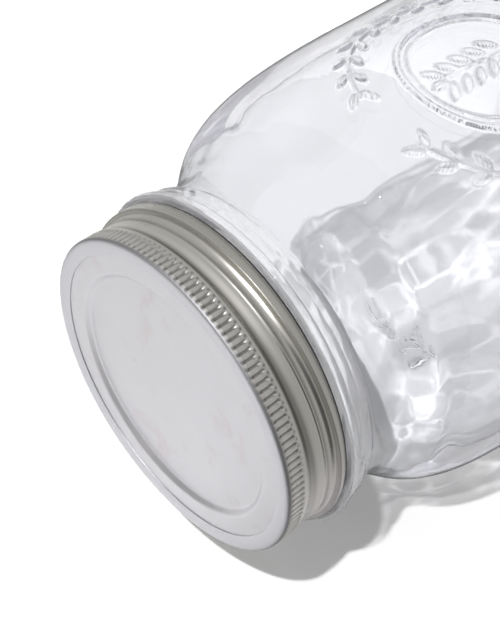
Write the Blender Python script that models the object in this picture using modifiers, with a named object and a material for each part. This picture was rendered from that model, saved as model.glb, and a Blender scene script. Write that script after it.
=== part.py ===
# Glass preserving jar with a two-piece screw lid, for Blender 4.5.
# Metres, +Z up along the jar's axis, the origin at the middle of the base it stands on.
# A glass jar with a threaded finish, a sealing ring, a stamped lid disc and a rolled screw band.
import math

import bmesh
import bpy
from mathutils import Matrix, Vector

mm = 0.001

# Fits
clearance = 0.3 * mm  # between pieces that touch
thread_play = 0.35 * mm  # between the glass thread's crest and the band's wall
disc_play = 0.6 * mm  # between the disc's edge and the band's wall
weld = 0.01 * mm  # points this close are one point
overrun = 1.0 * mm  # how far a cutter reaches past what it cuts

# Glass body
lip_height = 171.8 * mm
body_radius = 50.6 * mm
glass_wall = 3.2 * mm
heel_radius = 8.0 * mm
inner_heel_radius = 10.0 * mm
bearing_width = 2.6 * mm  # flat ring that the jar stands on
base_wall = 5.5 * mm
push_up = 3.0 * mm  # hollow under the middle of the base
shoulder_drop = 49.3 * mm
neck_radius = 36.8 * mm
neck_length = 5.7 * mm
bore_blend = 9.0 * mm  # height over which the bore opens into the shoulder

# Glass finish
finish_radius = 34.5 * mm
lip_wall = 3.3 * mm
lip_round = 0.7 * mm
thread_height = 1.15 * mm
thread_pitch = 5.08 * mm
thread_start = 1.8 * mm  # from the lip down to the thread's first turn
ledge_fillet = 1.1 * mm
bead_radius = 39.2 * mm
bead_height = 2.5 * mm
bead_round = 0.8 * mm
groove_radius = 37.8 * mm
ring_radius = 38.35 * mm
ring_height = 2.4 * mm
seam_radius = 37.95 * mm
seam_height = 1.4 * mm
neck_fillet = 1.2 * mm

# Screw band
band_height = 14.8 * mm
band_sheet = 0.5 * mm
flange_width = 3.65 * mm
flange_round = 0.9 * mm
knurl_proud = 0.35 * mm
knurl_top = 0.9 * mm  # from the flange's face down to the grooves
knurl_length = 3.5 * mm
knurl_fade = 0.7 * mm
groove_depth = 0.42 * mm
groove_top_depth = 0.26 * mm
ridge_height = 0.8 * mm  # rolled inwards, and hooks under the glass thread
ridge_base = 2.2 * mm
ridge_tip = 0.8 * mm
valley_depth = 0.45 * mm
step_proud = 0.35 * mm
step_drop = 1.6 * mm  # from the ridge's middle down to the first step
step_width = 0.5 * mm
flare_drop = 3.1 * mm  # from the ridge's middle down to the skirt
skirt_flare = 1.5 * mm
skirt_round = 0.4 * mm

# Lid disc and sealing ring
disc_sheet = 0.6 * mm
disc_round = 0.2 * mm
panel_play = 2.6 * mm  # between the glass bore and the disc's stamped step
panel_depth = 1.2 * mm
step_slope = 1.2 * mm
panel_dome = 0.25 * mm
seal_thickness = 1.2 * mm
seal_width = 3.0 * mm

# Counts, angles and shares
glass_segments = 56
band_segments = 72
disc_segments = 48
knurl_count = 144
thread_turns = 1.25
thread_start_angle = math.radians(86)
run_out_share = 0.08  # of the thread's length, where it sinks into the wall at each end
run_out_depth_share = 1.25  # of the thread's height, how far it sinks
band_front_angle = math.radians(-45)
rolled_half_angle = math.radians(135)  # the rolled thread is a true helix this far each way
ridge_fade_angle = math.radians(20)
shoulder_shares = [
    # of the way out from neck to body, and of the way down the shoulder
    (0.07, 0.07),
    (0.15, 0.10),
    (0.25, 0.14),
    (0.36, 0.18),
    (0.58, 0.25),
    (0.72, 0.33),
    (0.80, 0.40),
    (0.87, 0.49),
    (0.93, 0.61),
    (0.98, 0.80),
]
base_shares = (0.90, 0.60, 0.30)  # of the way out from the axis, under the base
floor_shares = (0.40, 0.75)  # of the way out from the axis, on the jar's floor
dome_share = 0.5  # of the way out from the axis, on the disc's panel

# Places that follow from the sizes above, measured up the axis
seal_bottom = lip_height + clearance
disc_bottom = seal_bottom + seal_thickness + clearance
flange_bottom = disc_bottom + disc_sheet + clearance
lid_top = flange_bottom + band_sheet
band_bottom = lid_top - band_height
bead_top = band_bottom - clearance
ring_top = bead_top - bead_height
seam_top = ring_top - ring_height
neck_top = seam_top - seam_height - neck_fillet
shoulder_top = neck_top - neck_length
shoulder_bottom = shoulder_top - shoulder_drop

# Radii that follow from the sizes above
bore_radius = finish_radius - lip_wall
inner_radius = body_radius - glass_wall
inner_neck_radius = neck_radius - glass_wall
wall_radius = finish_radius + thread_height + thread_play
waist_radius = wall_radius + band_sheet
knurl_radius = waist_radius + knurl_proud
skirt_radius = waist_radius + skirt_flare
flange_bore = knurl_radius - flange_width
disc_radius = wall_radius - disc_play
panel_radius = bore_radius - panel_play

# The rolled ridge runs one clearance below the glass thread, flank to flank
ridge_reach = wall_radius - ridge_height - finish_radius
thread_half_width = math.sqrt(thread_height**2 - ridge_reach**2)
ridge_below_thread = ridge_tip / 2 + thread_half_width + clearance


def clear_scene():
    for old in list(bpy.data.objects):
        bpy.data.objects.remove(old, do_unlink=True)


def new_collection(name):
    made = bpy.data.collections.new(name)
    bpy.context.scene.collection.children.link(made)
    return made


def new_material(name, color, roughness, metallic, transmission=0.0):
    material = bpy.data.materials.new(name)
    material.use_nodes = True
    shader = material.node_tree.nodes["Principled BSDF"]
    shader.inputs["Base Color"].default_value = (*color, 1.0)
    shader.inputs["Roughness"].default_value = roughness
    shader.inputs["Metallic"].default_value = metallic
    shader.inputs["Transmission Weight"].default_value = transmission
    return material


def clear_glass():
    return new_material("clear_glass", (0.93, 0.94, 0.96), 0.03, 0.0, 1.0)


def silver_band():
    return new_material("silver_tinplate", (0.62, 0.61, 0.58), 0.28, 1.0)


def silver_disc():
    return new_material("satin_tinplate", (0.70, 0.70, 0.73), 0.40, 1.0)


def sealing_compound():
    return new_material("sealing_compound", (0.86, 0.84, 0.80), 0.60, 0.0)


def arc(center, radius, start, end, steps):
    """Points on an arc in the profile's plane, angles in degrees from straight out."""
    points = []
    for i in range(steps + 1):
        angle = math.radians(start + (end - start) * i / steps)
        out = center[0] + radius * math.cos(angle)
        up = center[1] + radius * math.sin(angle)
        points.append((out, up))
    return points


def swell(top, height, root, crest, steps):
    """Points down a rounded ring that stands out from root to crest."""
    points = []
    for i in range(steps + 1):
        share = i / steps
        out = root + (crest - root) * math.sin(math.pi * share) ** 0.5
        points.append((out, top - height * share))
    return points


def profile_mesh(name, points, closed):
    """A line of edges in the XZ plane, for a Screw modifier to turn."""
    shape = bmesh.new()
    line = [shape.verts.new((out, 0, up)) for out, up in points]
    ends = line[1:] + line[:1] if closed else line[1:]
    for first, second in zip(line, ends):
        shape.edges.new((first, second))
    mesh = bpy.data.meshes.new(name)
    shape.to_mesh(mesh)
    shape.free()
    return mesh


def turned(name, points, segments, collection, closed=False):
    obj = bpy.data.objects.new(name, profile_mesh(name, points, closed))
    collection.objects.link(obj)
    turn = obj.modifiers.new("turn", "SCREW")
    turn.axis = "Z"
    turn.angle = math.tau
    turn.steps = segments
    turn.render_steps = segments
    turn.use_merge_vertices = True
    turn.merge_threshold = weld
    return obj


def freeze(obj):
    """Make the object's modifiers part of its mesh."""
    graph = bpy.context.evaluated_depsgraph_get()
    mesh = bpy.data.meshes.new_from_object(obj.evaluated_get(graph))
    mesh.name = obj.name
    obj.modifiers.clear()
    obj.data = mesh


def join_shape(obj, other, operation):
    """Cut or join by another object, which stays in the scene as a guide."""
    change = obj.modifiers.new(other.name, "BOOLEAN")
    change.operation = operation
    change.solver = "EXACT"
    change.object = other
    other.hide_render = True
    other.display_type = "WIRE"


def smooth(mesh, sharp_degrees):
    mesh.shade_smooth()
    mesh.set_sharp_from_angle(angle=math.radians(sharp_degrees))


def round_off(obj, sharp_degrees):
    freeze(obj)
    smooth(obj.data, sharp_degrees)


def glass_inside():
    """The jar's inner face, from the middle of the floor up to the lip."""
    floor_radius = inner_radius - inner_heel_radius
    points = [(0, base_wall + push_up)]
    for share in floor_shares:
        points.append((floor_radius * share, base_wall + push_up * (1 - share**2)))
    heel = (floor_radius, base_wall + inner_heel_radius)
    points += arc(heel, inner_heel_radius, -90, 0, 4)
    for out_share, down_share in reversed(shoulder_shares[::2]):
        out = inner_neck_radius + out_share * (inner_radius - inner_neck_radius)
        points.append((out, shoulder_top - shoulder_drop * down_share))
    points.append((inner_neck_radius, shoulder_top))
    points.append((bore_radius, shoulder_top + bore_blend))
    return points


def glass_finish():
    """The lip, the wall under the thread, and the rings below the band."""
    inside_edge = (bore_radius + lip_round, lip_height - lip_round)
    outside_edge = (finish_radius - lip_round, lip_height - lip_round)
    ledge = (finish_radius + ledge_fillet, bead_top + ledge_fillet)
    bead_corner = (bead_radius - bead_round, bead_top - bead_round)
    points = arc(inside_edge, lip_round, 180, 90, 2)
    points += arc(outside_edge, lip_round, 90, 0, 2)
    points += arc(ledge, ledge_fillet, 180, 270, 2)
    points += arc(bead_corner, bead_round, 90, 0, 3)
    points.append((bead_radius - bead_round / 2, ring_top + bead_round / 2))
    points += swell(ring_top, ring_height, groove_radius, ring_radius, 4)
    points += swell(seam_top, seam_height, groove_radius, seam_radius, 2)[1:]
    return points


def glass_outside():
    """The neck, the shoulder, the straight wall, the heel and the hollow base."""
    points = [(neck_radius, neck_top), (neck_radius, shoulder_top)]
    for out_share, down_share in shoulder_shares:
        out = neck_radius + out_share * (body_radius - neck_radius)
        points.append((out, shoulder_top - shoulder_drop * down_share))
    points.append((body_radius, shoulder_bottom))
    heel_center = body_radius - heel_radius
    points += arc((heel_center, heel_radius), heel_radius, 0, -90, 5)
    hollow_radius = heel_center - bearing_width
    points.append((hollow_radius, 0))
    for share in base_shares:
        points.append((hollow_radius * share, push_up * (1 - share**2)))
    points.append((0, push_up))
    return points


def thread_height_at(angle):
    """The height of the glass thread's middle, at an angle round the jar."""
    return lip_height - thread_start - thread_pitch * (thread_start_angle - angle) / math.tau


def glass_thread(collection):
    """A round ridge along a helix, which sinks into the wall at both ends."""
    path = bpy.data.curves.new("thread_path", "CURVE")
    path.dimensions = "3D"
    path.bevel_depth = thread_height
    path.bevel_resolution = 2
    path.use_fill_caps = True
    spline = path.splines.new("POLY")
    count = round(glass_segments * thread_turns)
    spline.points.add(count)
    for i, point in enumerate(spline.points):
        share = i / count
        to_end = min(share, 1 - share) / run_out_share
        sunk = run_out_depth_share * thread_height * max(0.0, 1 - to_end) ** 2
        angle = thread_start_angle - math.tau * thread_turns * share
        out = finish_radius - sunk
        x, y = out * math.cos(angle), out * math.sin(angle)
        point.co = (x, y, thread_height_at(angle), 1)
    curve = bpy.data.objects.new("thread_curve", path)
    collection.objects.link(curve)
    graph = bpy.context.evaluated_depsgraph_get()
    mesh = bpy.data.meshes.new_from_object(curve.evaluated_get(graph))
    shape = bmesh.new()
    shape.from_mesh(mesh)
    bmesh.ops.remove_doubles(shape, verts=shape.verts, dist=weld)
    bmesh.ops.recalc_face_normals(shape, faces=shape.faces)
    shape.to_mesh(mesh)
    shape.free()
    thread = bpy.data.objects.new("glass_thread", mesh)
    thread.matrix_world = curve.matrix_world
    collection.objects.link(thread)
    bpy.data.objects.remove(curve, do_unlink=True)
    return thread


def make_glass_jar(parts, guides):
    points = glass_inside() + glass_finish() + glass_outside()
    jar = turned("glass_jar", points, glass_segments, parts)
    join_shape(jar, glass_thread(guides), "UNION")
    round_off(jar, 50)
    jar.data.materials.clear()
    jar.data.materials.append(clear_glass())
    return jar


def band_ridge_drop():
    """How far the rolled ridge's middle lies below the band's top, at the front."""
    return lid_top - (thread_height_at(band_front_angle) - ridge_below_thread)


def band_outside():
    """The band's outer face from the flange's bore down, heights from the band's top."""
    middle = -band_ridge_drop()
    half_sheet = band_sheet / 2
    corner = (knurl_radius - flange_round, -flange_round)
    skirt_corner = (skirt_radius - skirt_round, -band_height + skirt_round)
    fade_end = -knurl_top - knurl_length - knurl_fade
    points = arc((flange_bore + half_sheet, -half_sheet), half_sheet, 225, 90, 3)
    points += arc(corner, flange_round, 90, 0, 3)
    points += [
        (knurl_radius, -knurl_top - knurl_length),
        (waist_radius, fade_end),
        (waist_radius, middle + ridge_base / 2),
        (waist_radius - valley_depth, middle + ridge_tip / 4),
        (waist_radius - valley_depth, middle - ridge_tip / 2),
        (waist_radius + step_proud / 2, middle - ridge_base / 2),
        (waist_radius + step_proud, middle - step_drop),
        (waist_radius + step_proud, middle - step_drop - step_width),
        (skirt_radius, middle - flare_drop),
    ]
    points += arc(skirt_corner, skirt_round, 0, -90, 2)
    return points


def band_inside():
    """The band's inner face from the skirt's edge up to the flange."""
    middle = -band_ridge_drop()
    skirt_inside = skirt_radius - band_sheet
    return [
        (skirt_inside, -band_height + band_sheet),
        (skirt_inside, middle - flare_drop - band_sheet / 2),
        (wall_radius + step_proud, middle - step_drop - step_width),
        (wall_radius, middle - ridge_base / 2),
        (wall_radius - ridge_height, middle - ridge_tip / 2),
        (wall_radius - ridge_height, middle + ridge_tip / 2),
        (wall_radius, middle + ridge_base / 2),
        (wall_radius, -band_sheet),
    ]


def roll_shift(turn):
    """How far the rolled rows climb at an angle from the front, and how full they are."""
    lead = thread_pitch / math.tau
    if abs(turn) <= rolled_half_angle:
        fullness = min(1.0, (rolled_half_angle - abs(turn)) / ridge_fade_angle)
        return lead * turn, fullness
    back = math.pi - rolled_half_angle
    along = (math.pi - abs(turn)) / back  # 1 where the helix ends, 0 right behind
    ease = math.sin(along * math.pi / 2)
    return math.copysign(lead * rolled_half_angle * ease, turn), 0.0


def roll_thread(mesh):
    """Bend the band's thread rows from level rings into a right-hand helix."""
    middle = -band_ridge_drop()
    top = middle + ridge_base / 2 + weld
    bottom = middle - flare_drop - band_sheet
    for vert in mesh.vertices:
        if not bottom < vert.co.z < top:
            continue
        turn = math.atan2(vert.co.y, vert.co.x) - band_front_angle
        turn = (turn + math.pi) % math.tau - math.pi
        climb, fullness = roll_shift(turn)
        out = math.hypot(vert.co.x, vert.co.y)
        sunk_from = waist_radius if out > wall_radius else wall_radius
        if out < sunk_from - weld and vert.co.z > middle - ridge_base / 2 - weld:
            scale = (sunk_from + (out - sunk_from) * fullness) / out
            vert.co.x *= scale
            vert.co.y *= scale
        vert.co.z += climb


def knurl_cutter(collection):
    """A ring of wedges, wider at the foot, that cut the grooves of the knurled edge."""
    shape = bmesh.new()
    for i in range(knurl_count):
        angle = math.tau * (i + 0.5) / knurl_count
        foot = overrun + groove_depth
        head = overrun + groove_top_depth
        place = Matrix.Rotation(angle, 4, "Z") @ Matrix.Translation(
            Vector((knurl_radius + overrun, 0, -knurl_top - knurl_length / 2))
        )
        bmesh.ops.create_cone(
            shape,
            cap_ends=True,
            segments=4,
            radius1=foot,
            radius2=head,
            depth=knurl_length,
            matrix=place,
        )
    bmesh.ops.recalc_face_normals(shape, faces=shape.faces)
    mesh = bpy.data.meshes.new("knurl_cutter")
    shape.to_mesh(mesh)
    shape.free()
    cutter = bpy.data.objects.new("knurl_cutter", mesh)
    cutter.location.z = lid_top
    collection.objects.link(cutter)
    return cutter


def make_screw_band(parts, guides):
    points = band_outside() + band_inside()
    band = turned("screw_band", points, band_segments, parts, closed=True)
    freeze(band)
    roll_thread(band.data)
    band.location.z = lid_top
    bpy.context.view_layer.update()
    join_shape(band, knurl_cutter(guides), "DIFFERENCE")
    round_off(band, 35)
    band.data.materials.clear()
    band.data.materials.append(silver_band())
    return band


def make_lid_disc(parts):
    """A disc with a level rim and a panel stamped down inside the jar's mouth."""
    rim_edge = (disc_radius - disc_round, disc_sheet - disc_round)
    step_foot = panel_radius - step_slope
    dome_out = step_foot * dome_share
    dome_up = panel_dome * (1 - dome_share**2)
    points = [
        (0, disc_sheet - panel_depth + panel_dome),
        (dome_out, disc_sheet - panel_depth + dome_up),
        (step_foot, disc_sheet - panel_depth),
        (panel_radius, disc_sheet),
    ]
    points += arc(rim_edge, disc_round, 90, 0, 2)
    points += [
        (disc_radius, 0),
        (panel_radius + disc_sheet / 2, 0),
        (step_foot + disc_sheet / 2, -panel_depth),
        (dome_out, -panel_depth + dome_up),
        (0, -panel_depth + panel_dome),
    ]
    disc = turned("lid_disc", points, disc_segments, parts)
    disc.location.z = disc_bottom
    round_off(disc, 25)
    disc.data.materials.clear()
    disc.data.materials.append(silver_disc())
    return disc


def make_sealing_ring(parts):
    """A flat soft ring over the middle of the lip."""
    middle = (finish_radius + bore_radius) / 2
    outer = middle + seal_width / 2
    inner = middle - seal_width / 2
    points = [(inner, seal_thickness), (outer, seal_thickness), (outer, 0), (inner, 0)]
    ring = turned("sealing_ring", points, disc_segments, parts, closed=True)
    ring.location.z = seal_bottom
    round_off(ring, 40)
    ring.data.materials.clear()
    ring.data.materials.append(sealing_compound())
    return ring


def new_empty(name, height, collection, parent=None):
    empty = bpy.data.objects.new(name, None)
    empty.location.z = height
    collection.objects.link(empty)
    if parent:
        attach(empty, parent)
    return empty


def attach(child, parent):
    """Parent without moving the child."""
    bpy.context.view_layer.update()
    child.parent = parent
    child.matrix_parent_inverse = parent.matrix_world.inverted()


def make_jar_assembly():
    parts = new_collection("glass_jar_with_screw_lid")
    guides = new_collection("cutters_and_guides")
    make_glass_jar(parts, guides)
    band = make_screw_band(parts, guides)
    disc = make_lid_disc(parts)
    ring = make_sealing_ring(parts)
    lid_axis = new_empty("lid_lift_axis", disc_bottom, parts)
    band_axis = new_empty("band_turn_axis", lid_top, parts, lid_axis)
    attach(disc, lid_axis)
    attach(ring, lid_axis)
    attach(band, band_axis)


clear_scene()
make_jar_assembly()
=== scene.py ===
import math

import bmesh
import bpy
import numpy as np
from mathutils import Matrix, Vector


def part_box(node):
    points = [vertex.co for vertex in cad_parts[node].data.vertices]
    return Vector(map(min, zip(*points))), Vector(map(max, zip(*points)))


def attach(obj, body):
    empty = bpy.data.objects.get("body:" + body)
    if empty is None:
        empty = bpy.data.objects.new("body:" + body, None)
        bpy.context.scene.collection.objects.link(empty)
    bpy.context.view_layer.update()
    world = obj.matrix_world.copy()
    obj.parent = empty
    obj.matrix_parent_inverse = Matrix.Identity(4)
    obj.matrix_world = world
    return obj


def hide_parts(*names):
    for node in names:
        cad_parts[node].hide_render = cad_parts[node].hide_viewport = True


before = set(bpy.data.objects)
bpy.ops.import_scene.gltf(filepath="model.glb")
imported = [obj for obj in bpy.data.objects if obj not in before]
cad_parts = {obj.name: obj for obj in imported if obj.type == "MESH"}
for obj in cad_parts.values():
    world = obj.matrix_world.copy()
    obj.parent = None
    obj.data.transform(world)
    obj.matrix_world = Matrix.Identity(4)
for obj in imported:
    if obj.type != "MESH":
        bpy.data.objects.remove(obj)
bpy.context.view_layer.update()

mm = 0.001
jarLow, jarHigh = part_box("glass_jar")
bandLow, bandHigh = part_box("screw_band")
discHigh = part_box("lid_disc")[1]
sealLow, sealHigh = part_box("sealing_ring")
lipHeight = jarHigh.z
bandTop = bandHigh.z
bandBottom = bandLow.z
gap = 0.3 * mm  # between pieces that touch
beadTop = bandBottom - gap  # of the glass bead under the band's skirt
weld = 0.001 * mm  # points this close become one
same = 0.01 * mm  # a smaller difference in place doesn't count
smallRound = 0.3 * mm  # two steps are enough for a corner of up to this radius
white = (1, 1, 1)
black = (0, 0, 0)


# Lines and outlines

# an arc in the outline's plane, angles in degrees from straight out
def arc(center, radius, start, end, steps):
    turns = [math.radians(start + (end - start) * i / steps) for i in range(steps + 1)]
    return [(center[0] + radius * math.cos(t), center[1] + radius * math.sin(t)) for t in turns]


# a smooth line through the points, cut into steps of about the given length
def smoothLine(points, step):
    line = [Vector(p) for p in points]
    ends = [2 * line[0] - line[1]] + line + [2 * line[-1] - line[-2]]
    made = []
    for a, b, c, d in zip(ends, ends[1:], ends[2:], ends[3:]):
        pieces = max(1, round((c - b).length / step))
        for i in range(pieces):
            t = i / pieces
            spot = 2 * b + (c - a) * t + (2 * a - 5 * b + 4 * c - d) * t * t
            spot += (3 * b - a - 3 * c + d) * t * t * t
            made.append(tuple(spot / 2))
    return made + [tuple(line[-1])]


# the points of a straight stretch, without its last one
def stretch(a, b, pieces):
    shares = [i / pieces for i in range(pieces)]
    return [(a[0] + (b[0] - a[0]) * share, a[1] + (b[1] - a[1]) * share) for share in shares]


# straight stretches cut so that none is longer than the step
def divide(points, step, closed=False):
    made = []
    for a, b in zip(points, points[1:] + points[:1] if closed else points[1:]):
        made += stretch(a, b, max(1, math.ceil(math.dist(a, b) / step)))
    return made if closed else made + [points[-1]]


# each corner is rounded by the radius that stands third in its point
def softCorners(points, steps=4):
    made = []
    for before, here, after in zip(points[-1:] + points[:-1], points, points[1:] + points[:1]):
        if here[2] == 0:
            made.append(here[:2])
            continue
        spot = Vector(here[:2])
        back, ahead = Vector(before[:2]) - spot, Vector(after[:2]) - spot
        a = spot + back.normalized() * min(here[2], back.length / 2)
        b = spot + ahead.normalized() * min(here[2], ahead.length / 2)
        pieces = steps if here[2] > smallRound else min(steps, 2)
        for i in range(pieces + 1):
            t = i / pieces
            made.append(tuple(a * (1 - t) ** 2 + spot * 2 * t * (1 - t) + b * t * t))
    return made


# Meshes

def addObject(name, data):
    made = bpy.data.objects.new(name, data)
    bpy.context.scene.collection.objects.link(made)
    return made


def meshObject(name, shape):
    mesh = bpy.data.meshes.new(name)
    shape.to_mesh(mesh)
    shape.free()
    return addObject(name, mesh)


# one sector is spun and then copied round, which is much quicker than a full spin of many steps
def spinPiece(name, outline, sectors, steps, closed=False):
    shape = bmesh.new()
    line = [shape.verts.new((out, 0, up)) for out, up in outline]
    nexts = line[1:] + line[:1] if closed else line[1:]
    edges = [shape.edges.new(pair) for pair in zip(line, nexts)]
    bmesh.ops.spin(shape, geom=line + edges, cent=(0, 0, 0), axis=(0, 0, 1), angle=math.tau / sectors,
                   steps=steps)
    sector = shape.verts[:] + shape.edges[:] + shape.faces[:]
    for i in range(1, sectors):
        made = bmesh.ops.duplicate(shape, geom=sector)["geom"]
        copied = [part for part in made if isinstance(part, bmesh.types.BMVert)]
        swing = Matrix.Rotation(math.tau * i / sectors, 3, "Z")
        bmesh.ops.rotate(shape, verts=copied, cent=(0, 0, 0), matrix=swing)
    bmesh.ops.remove_doubles(shape, verts=shape.verts, dist=weld)
    bmesh.ops.recalc_face_normals(shape, faces=shape.faces)
    piece = meshObject(name, shape)
    piece.data.shade_smooth()
    return piece


# every point as its distance from the axis, its angle round it and its height
def readPoints(piece):
    spots = np.empty(len(piece.data.vertices) * 3)
    piece.data.vertices.foreach_get("co", spots)
    spots = spots.reshape(-1, 3)
    return np.hypot(spots[:, 0], spots[:, 1]), np.arctan2(spots[:, 1], spots[:, 0]), spots[:, 2].copy()


def writePoints(piece, out, turn, up):
    spots = np.stack([out * np.cos(turn), out * np.sin(turn), up], axis=1)
    piece.data.vertices.foreach_set("co", spots.ravel())
    piece.data.update()


# a value at every point, which the material reads
def addValues(piece, name, values):
    piece.data.attributes.new(name, "FLOAT", "POINT").data.foreach_set("value", values)


def smoothStep(low, high, value):
    t = np.clip((value - low) / (high - low), 0, 1)
    return t * t * (3 - 2 * t)


def wrapTurn(turn):
    return (turn + math.pi) % math.tau - math.pi


def dress(piece, node, body, material):
    piece.data.materials.append(material)
    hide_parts(node)
    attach(piece, body)
    print(piece.name, len(piece.data.polygons), "faces")


# Shader sums

# a socket that sums can be written with
class Signal:
    def __init__(self, tree, socket=None):
        self.tree = tree
        self.socket = socket

    # a node of any kind: its settings, then its sockets' values or links
    def node(self, kind, settings=None, values=None, output=0):
        made = self.tree.nodes.new(kind)
        for key, setting in (settings or {}).items():
            if key == "stops":
                ramp = made.color_ramp.elements
                while len(ramp) < len(setting):
                    ramp.new(1)
                for stop, (place, color) in zip(ramp, setting):
                    stop.position = place
                    stop.color = (*color, 1)
            else:
                setattr(made, key, setting)
        for key, value in (values or {}).items():
            if isinstance(value, Signal):
                self.tree.links.new(value.socket, made.inputs[key])
            else:
                made.inputs[key].default_value = value
        return Signal(self.tree, made.outputs[output] if len(made.outputs) else None)

    def math(self, operation, first, second):
        return self.node("ShaderNodeMath", {"operation": operation}, {0: first, 1: second})

    def __add__(self, other):
        return self.math("ADD", self, other)

    def __radd__(self, other):
        return self.math("ADD", other, self)

    def __sub__(self, other):
        return self.math("SUBTRACT", self, other)

    def __rsub__(self, other):
        return self.math("SUBTRACT", other, self)

    def __mul__(self, other):
        return self.math("MULTIPLY", self, other)

    def __rmul__(self, other):
        return self.math("MULTIPLY", other, self)

    # a soft step from 0 to the top level
    def ramp(self, value, low, high, top=1.0):
        return self.node("ShaderNodeMapRange", {"interpolation_type": "SMOOTHSTEP"},
                         {"Value": value, "From Min": low, "From Max": high, "To Max": top})

    # 1 between two soft steps
    def zone(self, value, first, last):
        return self.ramp(value, *first) * self.ramp(value, *last)

    def clamp(self):
        return self.node("ShaderNodeClamp", {}, {0: self})

    # a mix of two colours, each of them plain or from a socket
    def colors(self, low, high):
        low, high = (color if isinstance(color, Signal) else (*color, 1) for color in (low, high))
        return self.node("ShaderNodeMix", {"data_type": "RGBA"}, {0: self, 6: low, 7: high}, output=2)

    def shaders(self, low, high):
        return self.node("ShaderNodeMixShader", {}, {0: self, 1: low, 2: high})


def newMaterial(name):
    material = bpy.data.materials.new(name)
    material.use_nodes = True
    material.node_tree.nodes.clear()
    return material, Signal(material.node_tree)


def objectSpots(start, scale=(1, 1, 1)):
    spots = start.node("ShaderNodeTexCoord", output="Object")
    return start.node("ShaderNodeMapping", {}, {"Vector": spots, "Scale": scale})


# how far along X, 0, Y, 1, or Z, 2, a point lies
def along(start, axis):
    return start.node("ShaderNodeSeparateXYZ", {}, {0: objectSpots(start)}, output=axis)


def attribute(start, name):
    return start.node("ShaderNodeAttribute", {"attribute_name": name}, output="Fac")


def noise(start, spots, scale, detail=3.0, roughness=0.5, distortion=0.0):
    return start.node("ShaderNodeTexNoise", {}, {"Vector": spots, "Scale": scale, "Detail": detail,
                                                 "Roughness": roughness, "Distortion": distortion})


# the usual surface, with a pattern as its bump, whose numbers are strength and depth
def surface(start, color, roughness, pattern, bump, more):
    normal = start.node("ShaderNodeBump", {}, {"Strength": bump[0], "Distance": bump[1], "Height": pattern})
    return start.node("ShaderNodeBsdfPrincipled", {}, {
        "Base Color": color, "Roughness": roughness, "Normal": normal, **more})


# 1 for the kinds of ray that are named, 0 for the others
def rayKind(start, first, *others):
    made = start.node("ShaderNodeLightPath", output=first)
    for kind in others:
        made = made + start.node("ShaderNodeLightPath", output=kind)
    return made.clamp() if others else made


# 1 for light that has been mirrored on its way, more often than the given number
def wasMirrored(start, turns=0.5):
    return start.math("GREATER_THAN", start.node("ShaderNodeLightPath", output="Glossy Depth"), turns)


# a diffuse or transparent shader in one colour
def plain(start, kind, color):
    return start.node("ShaderNodeBsdf" + kind, {}, {"Color": (*color, 1)})


def finish(start, shader):
    start.node("ShaderNodeOutputMaterial", {}, {"Surface": shader})


# Camera

photoView = {
    "azimuth": -45.0,  # of the camera round the jar
    "tilt": 66.987,  # between the jar's axis and the line to the camera
    "roll": 236.710,
    "distance": 294.4 * mm,  # from the middle of the lid's face
    "lens": 81.57,
    "shiftY": -0.16,
    "axisPixel": (250.0, 212.5),
    "lidPixel": (168.05, 397.27),
    "focalPixels": 1416.2,
    "faceDepth": 0.5 * mm,  # below the top of the band
    "nearest": 1.0 * mm,
}


def placeCamera():
    view = photoView
    tilt, azimuth, roll = (math.radians(view[k]) for k in ("tilt", "azimuth", "roll"))
    face = Vector((0, 0, bandTop - view["faceDepth"]))
    around = Matrix.Rotation(azimuth, 3, "Z")
    toCamera = around @ Vector((math.sin(tilt), 0, math.cos(tilt)))
    side = around @ Vector((0, 1, 0))
    above = around @ Vector((-math.cos(tilt), 0, math.sin(tilt)))
    right = math.cos(roll) * side + math.sin(roll) * above
    up = -math.sin(roll) * side + math.cos(roll) * above
    straight = Matrix((right, -up, -toCamera))  # rows: right, down and forward in the picture
    offset = Vector((view["lidPixel"][0] - view["axisPixel"][0],
                     view["lidPixel"][1] - view["axisPixel"][1], view["focalPixels"]))
    swing = Vector((0, 0, 1)).rotation_difference(offset).to_matrix()
    rows = swing @ straight
    camera = addObject("camera", bpy.data.cameras.new("camera"))
    camera.data.lens = view["lens"]
    camera.data.shift_y = view["shiftY"]
    camera.data.clip_start = view["nearest"]
    turned = Matrix((rows[0], -rows[1], -rows[2])).transposed().to_4x4()
    camera.matrix_world = Matrix.Translation(face + view["distance"] * toCamera) @ turned
    bpy.context.scene.camera = camera
    print("camera placed")


# Light and stage

studio = {
    "sunAzimuth": -19.8,
    "sunElevation": 23.2,
    "sunShare": 0.8,  # of the light on a white surface that faces the sun
    "sunAngle": 1.5,
    "skyAbove": 0.42,
    "skyBelow": 0.08,
    "skyBlend": (-0.85, -0.35),  # how high up one turns into the other, as a sine
    "wallAzimuth": -8.0,  # the white table that the jar lies against in the photograph
    "wallGap": 0.8 * mm,
    "white": 0.9,
    "lift": 0.1,
    "shade": 0.5,  # of the wall's near half, as metal and glass mirror it
    "shadeBlend": (20 * mm, -30 * mm),
    "backShade": 0.5,  # of its part behind the jar
    "backBlend": (110 * mm, 180 * mm),
    "endBlend": (-45 * mm, -75 * mm),  # where the wall ends for them
    "darkSide": (-0.17, -0.98, 0.0),  # of the room beyond the table, as they mirror it
    "darkShare": 0.85,
    "darkBlend": (0.6, 0.8),
    "darkRise": (-0.25, -0.05),
    "floorLift": 0.4,
    "floorDrop": 0.1 * mm,
    "size": 6.0,
}


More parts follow.
